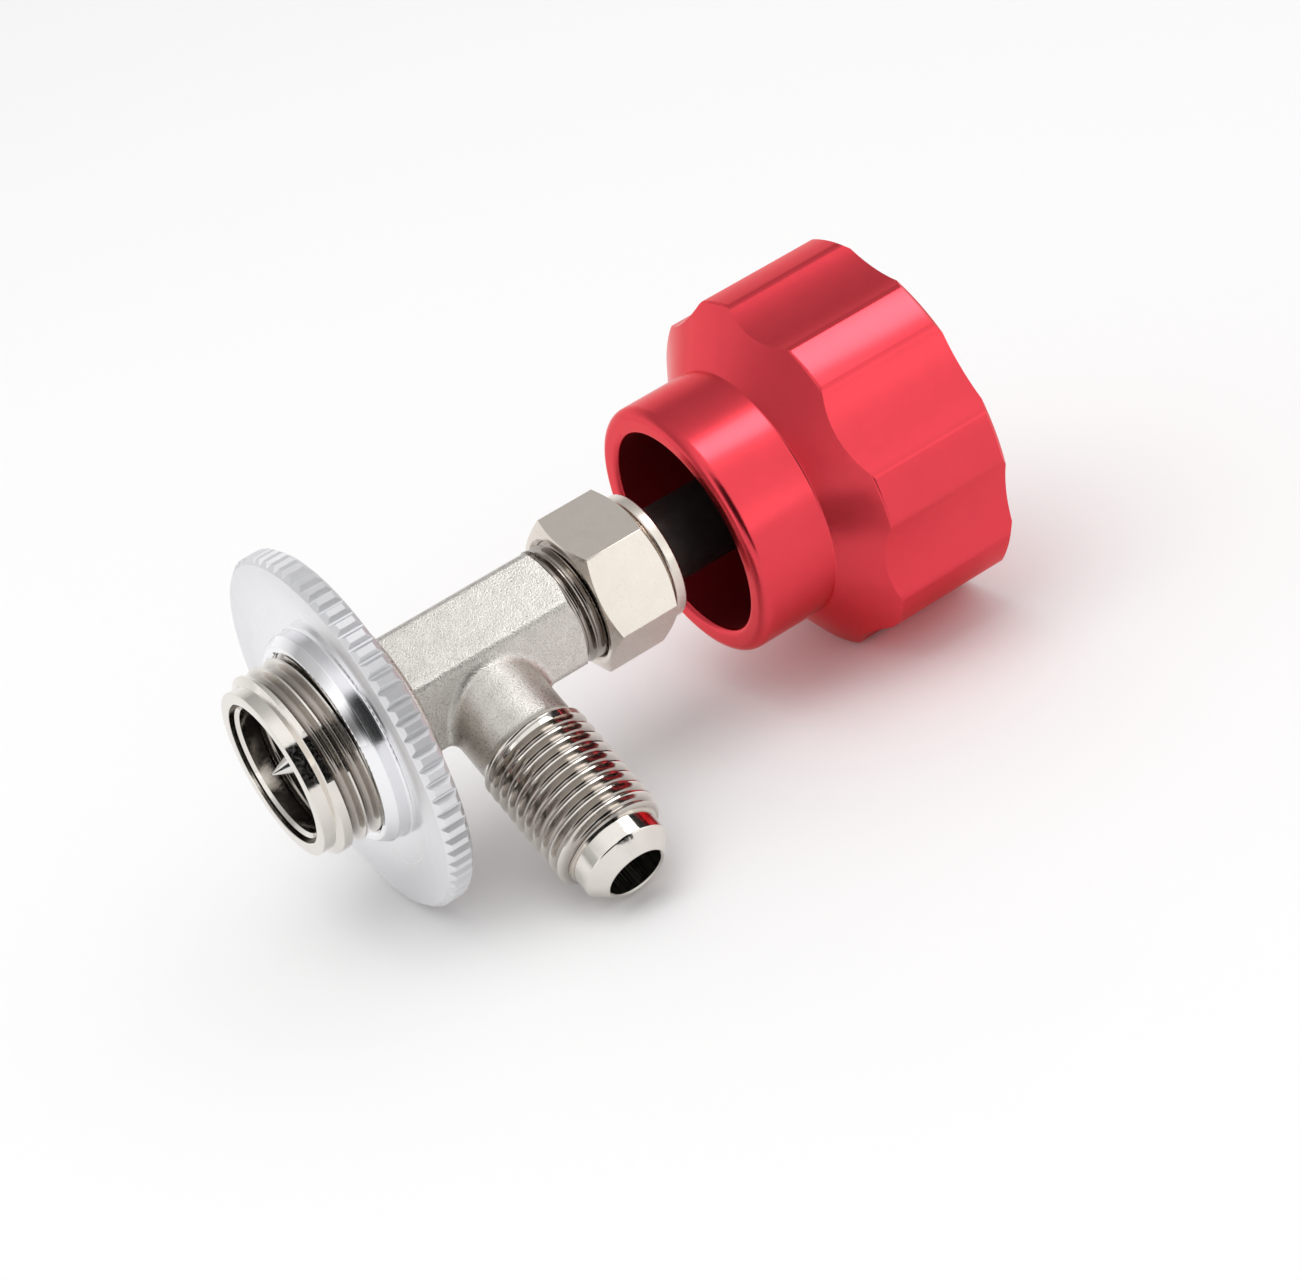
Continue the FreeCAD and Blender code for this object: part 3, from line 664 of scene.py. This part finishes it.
def mark_grooves(piece, *threads):
    """Note at each point how deep it lies in a thread, from 0 at the crest to 1 at the root.

    Each outside thread is (origin, axis, start, end, crest radius, depth). Points under 1.2 depths down
    belong to it. The dull skin inside the mouth all counts as a root, and takes the painted shade of the
    roots.
    """
    depths = piece.data.attributes.new(GROOVE_SHADE, "FLOAT", "POINT")
    for vertex, noted in zip(piece.data.vertices, depths.data):
        for origin, axis, start, end, crest, depth in threads:
            offset = vertex.co - origin
            along = offset.dot(axis)
            down = (crest - (offset - axis * along).length) / depth
            if start < along < end and down < 1.2:
                noted.value = min(1, max(0, down))
        # Painted shade: the whole inside of the mouth takes the roots' dark colour
        if vertex.co.x > DULL_AND_SHADED_START and off_axis(vertex.co) < DULL_AND_SHADED_REACH:
            noted.value = 1


def finish_piece(piece, node, body, slot, *materials):
    """Give a new piece its finishes, and put it in the place of a CAD node."""
    for material in materials:
        piece.data.materials.append(material)
    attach(piece, body)
    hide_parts(node)


class CANTAP_OT_valve_body(Operator):
    """Make the valve body with its threads, blasted where forged and bright where turned"""

    bl_idname = "cantap.valve_body"
    bl_label = "Valve body"

    def execute(self, context):
        sizes = context.scene.can_tap_threads
        finishes = context.scene.can_tap_finishes
        body = merged_copy("valve_body", "threaded_valve_body")
        flare = thread_cutter(sizes.flare_radius, sizes.flare_pitch, sizes.flare_depth,
                              sizes.flare_start, sizes.flare_end, fade_in=True)
        turn_to_branch(flare)
        socket = thread_cutter(sizes.socket_radius, sizes.socket_pitch, sizes.socket_depth,
                               sizes.socket_start, sizes.socket_end,
                               phase=sizes.socket_turn, fade_in=True)
        can = thread_cutter(sizes.can_radius, sizes.can_pitch, sizes.can_depth,
                            sizes.can_start, sizes.can_end, inside=True, fade_out=True)
        gland = thread_cutter(sizes.gland_radius, sizes.fine_pitch, sizes.fine_depth,
                              sizes.gland_start, sizes.gland_end)
        flank = sizes.socket_radius - sizes.lead_radius + PAST
        clear = sizes.lead_radius + flank
        lead = ring_cutter((-MM, sizes.lead_radius), (sizes.lead_end, sizes.lead_radius),
                           (sizes.lead_end + 0.5 * flank, clear), (-MM, clear))
        mouth = ring_cutter((-MM, sizes.mouth_inner), (-MM, sizes.mouth_outer),
                            (sizes.mouth_floor, sizes.mouth_outer),
                            (sizes.mouth_floor, sizes.mouth_inner))
        cut(body, [lead, mouth])
        cut(body, [socket, can, gland, flare])
        mark_grooves(
            body,
            (Vector(), X_AXIS, sizes.lead_end + PAST / 2, sizes.socket_end + sizes.socket_pitch,
             sizes.socket_radius, sizes.socket_depth),
            (Vector(), X_AXIS, sizes.gland_start - sizes.fine_pitch, sizes.gland_end,
             sizes.gland_radius, sizes.fine_depth),
            (BRANCH_ORIGIN, FLARE_AXIS, sizes.flare_start, sizes.flare_end,
             sizes.flare_radius, sizes.flare_depth),
        )
        shade(body, THREADED_SHADING)
        finish_piece(body, "valve_body", "valve", "nickel_brass",
                     blasted_nickel(finishes), machined_nickel(finishes))
        socket_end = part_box("lock_disc")[1].x + PAST / 2
        gland_start = sizes.gland_start - GLAND_TURNED
        branch_start = sizes.flare_start - FLARE_TURNED
        for face in body.data.polygons:
            from_branch = face.center - BRANCH_ORIGIN
            along_branch = from_branch.dot(FLARE_AXIS)
            off_branch = (from_branch - FLARE_AXIS * along_branch).length
            on_flare = along_branch > branch_start and off_branch < sizes.flare_radius + PAST
            turned = face.center.x < socket_end or face.center.x > gland_start or on_flare
            face.material_index = 1 if turned else 0
        return {"FINISHED"}


class CANTAP_OT_spindle(Operator):
    """Make the blackened spindle with its thread, and finish its needle"""

    bl_idname = "cantap.spindle"
    bl_label = "Spindle and needle"

    def execute(self, context):
        sizes = context.scene.can_tap_threads
        finishes = context.scene.can_tap_finishes
        spindle = merged_copy("spindle", "threaded_spindle")
        thread = thread_cutter(sizes.spindle_radius, sizes.fine_pitch, sizes.fine_depth,
                               sizes.spindle_start, sizes.spindle_end, fade_out=True)
        cut(spindle, [thread])
        shade(spindle, THREADED_SHADING)
        finish_piece(spindle, "spindle", "spindle", "black_steel", blackened_steel(finishes))
        finish_node("piercing_needle", ground_steel(finishes))
        return {"FINISHED"}


class CANTAP_OT_lock_disc(Operator):
    """Make the knurled lock disc, bare as it comes off the lathe"""

    bl_idname = "cantap.lock_disc"
    bl_label = "Lock disc"

    def execute(self, context):
        disc = merged_copy("lock_disc", "knurled_lock_disc")
        join_facets(disc)
        shade(disc, PLAIN_SHADING)
        finishes = context.scene.can_tap_finishes
        finish_piece(disc, "lock_disc", "disc", "disc_aluminium",
                     turned_aluminium(finishes), burnished_aluminium(finishes))
        radii = [off_axis(vertex.co) for vertex in disc.data.vertices]
        for face in disc.data.polygons:
            on_hub = max(radii[i] for i in face.vertices) < HUB_RADIUS + PAST
            face.material_index = 1 if on_hub else 0
        return {"FINISHED"}


class CANTAP_OT_knob(Operator):
    """Make the fluted knob in red anodised aluminium"""

    bl_idname = "cantap.knob"
    bl_label = "Knob"

    def execute(self, context):
        knob = merged_copy("knob", "anodised_knob")
        shade(knob, PLAIN_SHADING)
        finishes = context.scene.can_tap_finishes
        finish_piece(knob, "knob", "spindle", "red_anodised",
                     red_anodised(finishes), shaded_drilled_bore(finishes))
        bore_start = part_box("knob")[0].x + KNOB_LIP
        # Faces deep in the bore take its painted shade
        for face in knob.data.polygons:
            inward = off_axis(face.center) < KNOB_BORE_RADIUS + PAST / 10
            deep = bore_start < face.center.x < bore_start + KNOB_BORE_DEPTH
            face.material_index = 1 if inward and deep else 0
        return {"FINISHED"}


class CANTAP_OT_gland_nut(Operator):
    """Make the gland nut in satin nickel"""

    bl_idname = "cantap.gland_nut"
    bl_label = "Gland nut"

    def execute(self, context):
        nut = merged_copy("gland_nut", "satin_gland_nut")
        join_facets(nut)
        soften_edges(nut, context.scene.can_tap_threads.nut_edge)
        shade(nut, PLAIN_SHADING)
        finish_piece(nut, "gland_nut", "valve", "nut_nickel",
                     nut_nickel(context.scene.can_tap_finishes))
        return {"FINISHED"}


class CANTAP_OT_seals(Operator):
    """Finish the seal, the O-ring, the packing and its washer and ring"""

    bl_idname = "cantap.seals"
    bl_label = "Seals and packing"

    def execute(self, context):
        finishes = context.scene.can_tap_finishes
        rubber = moulded_rubber(finishes)
        brass = turned_brass(finishes)
        finish_node("can_seal", rubber)
        finish_node("spindle_o_ring", rubber)
        finish_node("packing_washer", brass)
        finish_node("gland_ring", brass)
        finish_node("stem_packing", pressed_ptfe(finishes))
        return {"FINISHED"}


class CANTAP_OT_knob_screw(Operator):
    """Finish the screw and the two washers behind the knob"""

    bl_idname = "cantap.knob_screw"
    bl_label = "Knob screw and washers"

    def execute(self, context):
        zinc = zinc_steel(context.scene.can_tap_finishes)
        for name in ("knob_screw", "knob_spring_washer", "knob_flat_washer"):
            finish_node(name, zinc)
        return {"FINISHED"}


def white_studio(stage):
    """World of a light tent: white behind the tap, and in reflections a ceiling that dims rearwards."""
    world = bpy.data.worlds.new("white studio")
    world.use_nodes = True
    background = world.node_tree.nodes["Background"]
    rays = add_node(world, "ShaderNodeLightPath").outputs
    direction = add_node(world, "ShaderNodeTexCoord").outputs["Generated"]
    split = add_node(world, "ShaderNodeSeparateXYZ", {}, {"Vector": direction}).outputs
    front = add_node(world, "ShaderNodeMath", {"operation": "MULTIPLY"},
                     {0: split["Y"], 1: -1.0}).outputs[0]
    climb = add_node(world, "ShaderNodeMath", {"operation": "ARCTAN2"},
                     {0: split["Z"], 1: front}).outputs[0]
    turn = add_node(world, "ShaderNodeMath", {"operation": "DIVIDE"},
                    {0: climb, 1: math.pi}).outputs[0]
    ramp = add_node(world, "ShaderNodeValToRGB", {}, {"Fac": turn})
    stops = ramp.color_ramp.elements
    while len(stops) < len(CEILING):
        stops.new(0.5)
    for stop, (degrees, level) in zip(stops, CEILING):
        stop.position = degrees / 180
        stop.color = (level, level, level, 1)
    seen = ramp.outputs["Color"]
    dark = (DARK_LEVEL, DARK_LEVEL, DARK_LEVEL, 1)
    for middle, edge, full in DARK_PLACES:
        near = add_node(world, "ShaderNodeVectorMath", {"operation": "DOT_PRODUCT"},
                        {0: direction, 1: Vector(middle).normalized()}).outputs["Value"]
        darkness = add_node(world, "ShaderNodeMapRange", {"interpolation_type": "SMOOTHSTEP"},
                            {"Value": near, "From Min": math.cos(math.radians(edge)),
                             "From Max": math.cos(math.radians(full))}).outputs["Result"]
        seen = add_node(world, "ShaderNodeMix", {"data_type": "RGBA"},
                        {"Factor": darkness, COLOUR_A: seen, COLOUR_B: dark}).outputs[MIXED]
    sky = (stage.sky, stage.sky, stage.sky, 1)
    lit = add_node(world, "ShaderNodeMix", {"data_type": "RGBA"},
                   {"Factor": rays["Is Glossy Ray"], COLOUR_A: sky, COLOUR_B: seen}).outputs[MIXED]
    white = add_node(world, "ShaderNodeMix", {"data_type": "RGBA"},
                     {"Factor": rays["Is Camera Ray"], COLOUR_A: lit, COLOUR_B: WHITE}).outputs[MIXED]
    fill_inputs(world, background, {"Color": white})
    return world


def aim_at(thing, target):
    """Turn a lamp or a camera to look at a point."""
    thing.rotation_mode = "QUATERNION"
    thing.rotation_quaternion = (target - thing.location).to_track_quat("-Z", "Y")


def soft_lamp(name, place, target, side, power):
    """Square soft box, which bright metal doesn't reflect."""
    deselect_all()
    bpy.ops.object.light_add(type="AREA", location=place)
    lamp = bpy.context.object
    lamp.name = name
    lamp.data.shape = "SQUARE"
    lamp.data.size = side
    lamp.data.energy = power
    lamp.visible_glossy = False
    aim_at(lamp, target)


def card(name, place, target, size, level):
    """Studio card near the tap, seen only as a reflection in bright metal, black or glowing."""
    deselect_all()
    bpy.ops.mesh.primitive_plane_add(size=1, location=place)
    sheet = bpy.context.object
    sheet.name = name
    sheet.scale = (*size, 1)
    back = (place - target).normalized()
    across = (X_AXIS - back * X_AXIS.dot(back)).normalized()
    sheet.rotation_euler = Matrix((across, back.cross(across), back)).transposed().to_euler()
    bpy.ops.object.transform_apply(location=True, rotation=True, scale=True)
    sheet.data.materials.append(new_material(name, BLACK, 0.0, 1.0, {
        "Specular IOR Level": 0.0, "Emission Color": WHITE, "Emission Strength": level})[0])
    sheet.visible_camera = False
    sheet.visible_diffuse = False
    sheet.visible_shadow = False
    sheet.visible_transmission = False


class CANTAP_OT_stage(Operator):
    """Place the camera, lay the pale floor, hang the lamp and stand the cards"""

    bl_idname = "cantap.stage"
    bl_label = "Stage"

    def execute(self, context):
        stage = context.scene.can_tap_stage
        finishes = context.scene.can_tap_finishes
        target = Vector(stage.aim)
        # From the point looked at to the camera
        back = Vector((math.sin(stage.azimuth) * math.cos(stage.elevation),
                       -math.cos(stage.azimuth) * math.cos(stage.elevation),
                       math.sin(stage.elevation)))
        deselect_all()
        bpy.ops.object.camera_add(location=target + back * stage.distance)
        camera = context.object
        camera.data.lens = stage.lens
        camera.data.clip_start = 10 * MM
        aim_at(camera, target)
        camera.rotation_quaternion = Quaternion(back, stage.roll) @ camera.rotation_quaternion
        context.scene.camera = camera

        deselect_all()
        bpy.ops.mesh.primitive_plane_add(size=stage.floor_size, location=(0, 0, CAD_BOUNDS[0][2]))
        floor = context.object
        floor.name = "floor"
        bpy.ops.object.transform_apply(location=True, rotation=True, scale=True)
        floor.data.materials.append(new_material("pale studio paper", finishes.floor, 0.0, 0.8)[0])

        soft_lamp("overhead", LAMP_PLACE, target, LAMP_SIDE, stage.lamp_power)
        card("dark_card", Vector(stage.dark_card), SOCKET_SIDE, DARK_CARD_SIZE, 0)
        card("bright_card", Vector(stage.bright_card), KNOB_TOP, BRIGHT_CARD_SIZE, stage.bright_level)
        context.scene.world = white_studio(stage)

        context.scene.view_settings.view_transform = "Standard"
        return {"FINISHED"}


class CANTAP_PT_panel(Panel):
    """Lists the pieces of the can tap in the sidebar"""

    bl_label = "Can tap"
    bl_space_type = "VIEW_3D"
    bl_region_type = "UI"
    bl_category = "Can tap"

    def draw(self, context):
        for step in STEPS:
            self.layout.operator(step.bl_idname)
        for settings in (context.scene.can_tap_threads, context.scene.can_tap_finishes,
                         context.scene.can_tap_stage):
            box = self.layout.box()
            for name in settings.__annotations__:
                box.prop(settings, name)


STEPS = (
    CANTAP_OT_valve_body,
    CANTAP_OT_spindle,
    CANTAP_OT_lock_disc,
    CANTAP_OT_knob,
    CANTAP_OT_gland_nut,
    CANTAP_OT_seals,
    CANTAP_OT_knob_screw,
    CANTAP_OT_stage,
)
CLASSES = (CanTapThreads, CanTapFinishes, CanTapStage) + STEPS + (CANTAP_PT_panel,)


def register():
    """Register the classes and their settings."""
    for item in CLASSES:
        bpy.utils.register_class(item)
    bpy.types.Scene.can_tap_threads = PointerProperty(type=CanTapThreads)
    bpy.types.Scene.can_tap_finishes = PointerProperty(type=CanTapFinishes)
    bpy.types.Scene.can_tap_stage = PointerProperty(type=CanTapStage)


def unregister():
    """Remove the settings and the classes."""
    del bpy.types.Scene.can_tap_stage
    del bpy.types.Scene.can_tap_finishes
    del bpy.types.Scene.can_tap_threads
    for item in reversed(CLASSES):
        bpy.utils.unregister_class(item)


def main():
    """Register the classes and make each piece in turn."""
    register()
    bpy.ops.cantap.valve_body()
    bpy.ops.cantap.spindle()
    bpy.ops.cantap.lock_disc()
    bpy.ops.cantap.knob()
    bpy.ops.cantap.gland_nut()
    bpy.ops.cantap.seals()
    bpy.ops.cantap.knob_screw()
    bpy.ops.cantap.stage()


if __name__ == "__main__":
    main()
